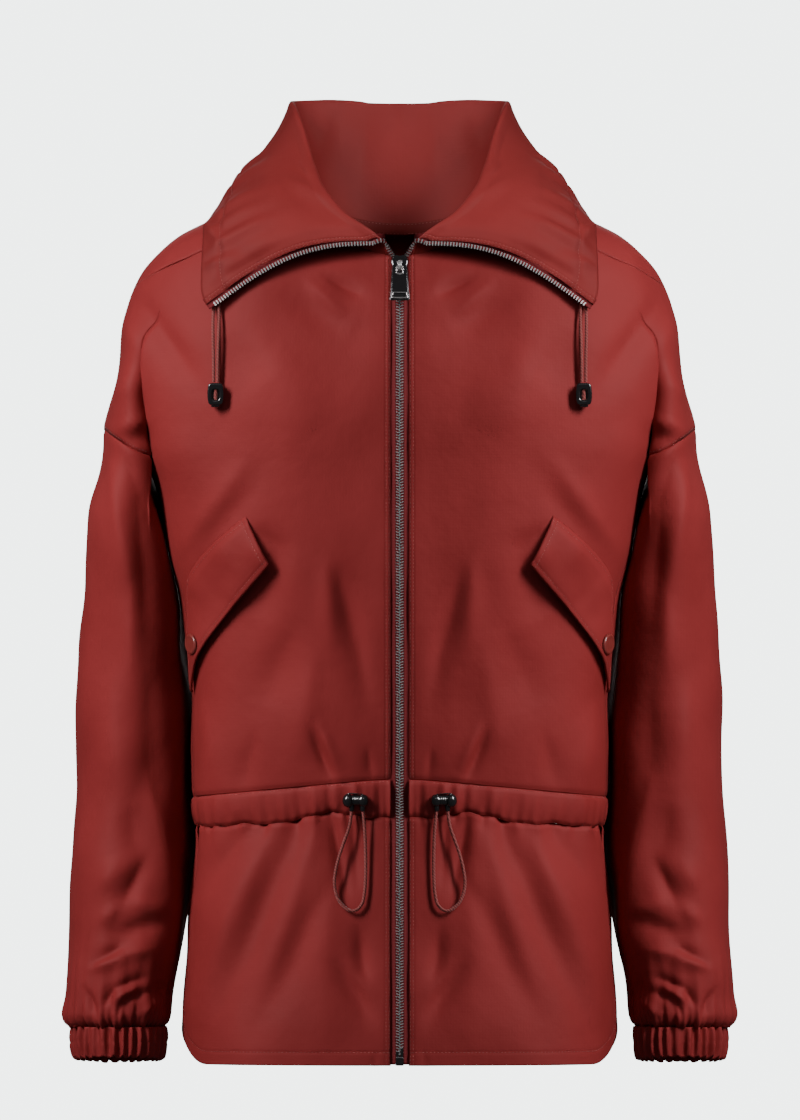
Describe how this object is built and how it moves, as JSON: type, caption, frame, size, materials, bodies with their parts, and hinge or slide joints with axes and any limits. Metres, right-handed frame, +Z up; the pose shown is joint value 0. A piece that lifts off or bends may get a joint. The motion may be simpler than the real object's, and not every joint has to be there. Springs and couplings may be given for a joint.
{
  "type": "parka",
  "caption": "Light unlined parka with a tall zipped funnel collar worn open, dropped shoulders, drawcord waist, snapped pocket flaps, elastic cuffs and a flared skirt.",
  "frame": {"origin": "middle of the neck opening at the height of the back neck seam, where the wearer's neck and shoulders hold the garment", "axes": "+Z up along the garment's length, -Y the way the zip faces, +X the wearer's left"},
  "size_m": [0.5506, 0.2367, 0.8001],
  "materials": {
    "shell": "brick red light plain weave with a soft sheen",
    "zip_tape": "crimson woven zip tape",
    "zip_teeth": "gunmetal zip teeth",
    "zip_hardware": "polished black nickel",
    "cord_stop": "glossy black moulded",
    "drawcord": "braided elastic cord in the cloth colour"
  },
  "bodies": {
    "parka": {"back": "shell", "casing_back": "shell", "skirt_back": "shell", "collar": "shell", "front_left": "shell", "casing_left": "shell", "skirt_left": "shell", "sleeve_left": "shell", "cuff_left": "shell", "flap_left": "shell", "snap_left": "shell", "front_right": "shell", "casing_right": "shell", "skirt_right": "shell", "sleeve_right": "shell", "cuff_right": "shell", "flap_right": "shell", "snap_right": "shell", "zip_tape_left": "zip_tape", "collar_tape_left": "zip_tape", "zip_tape_right": "zip_tape", "collar_tape_right": "zip_tape", "zip_chain": "zip_teeth", "collar_teeth_left": "zip_teeth", "collar_teeth_right": "zip_teeth", "zip_slider": "zip_hardware", "zip_bail": "zip_hardware", "zip_box": "zip_hardware", "waist_lock_left": "cord_stop", "collar_lock_left": "cord_stop", "waist_lock_right": "cord_stop", "collar_lock_right": "cord_stop", "waist_cord_left": "drawcord", "collar_cord_left_outer": "drawcord", "collar_cord_left_inner": "drawcord", "waist_cord_right": "drawcord", "collar_cord_right_outer": "drawcord", "collar_cord_right_inner": "drawcord"},
    "pull_tab": {"pull_tab": "zip_hardware"}
  },
  "joints": [
    {"name": "pull_tab_swing", "type": "hinge", "parent": "parka", "child": "pull_tab", "pos_m": [0, -0.09512, -0.03161], "axis": [-1, 0, 0], "range_deg": [0, 150]}
  ]
}
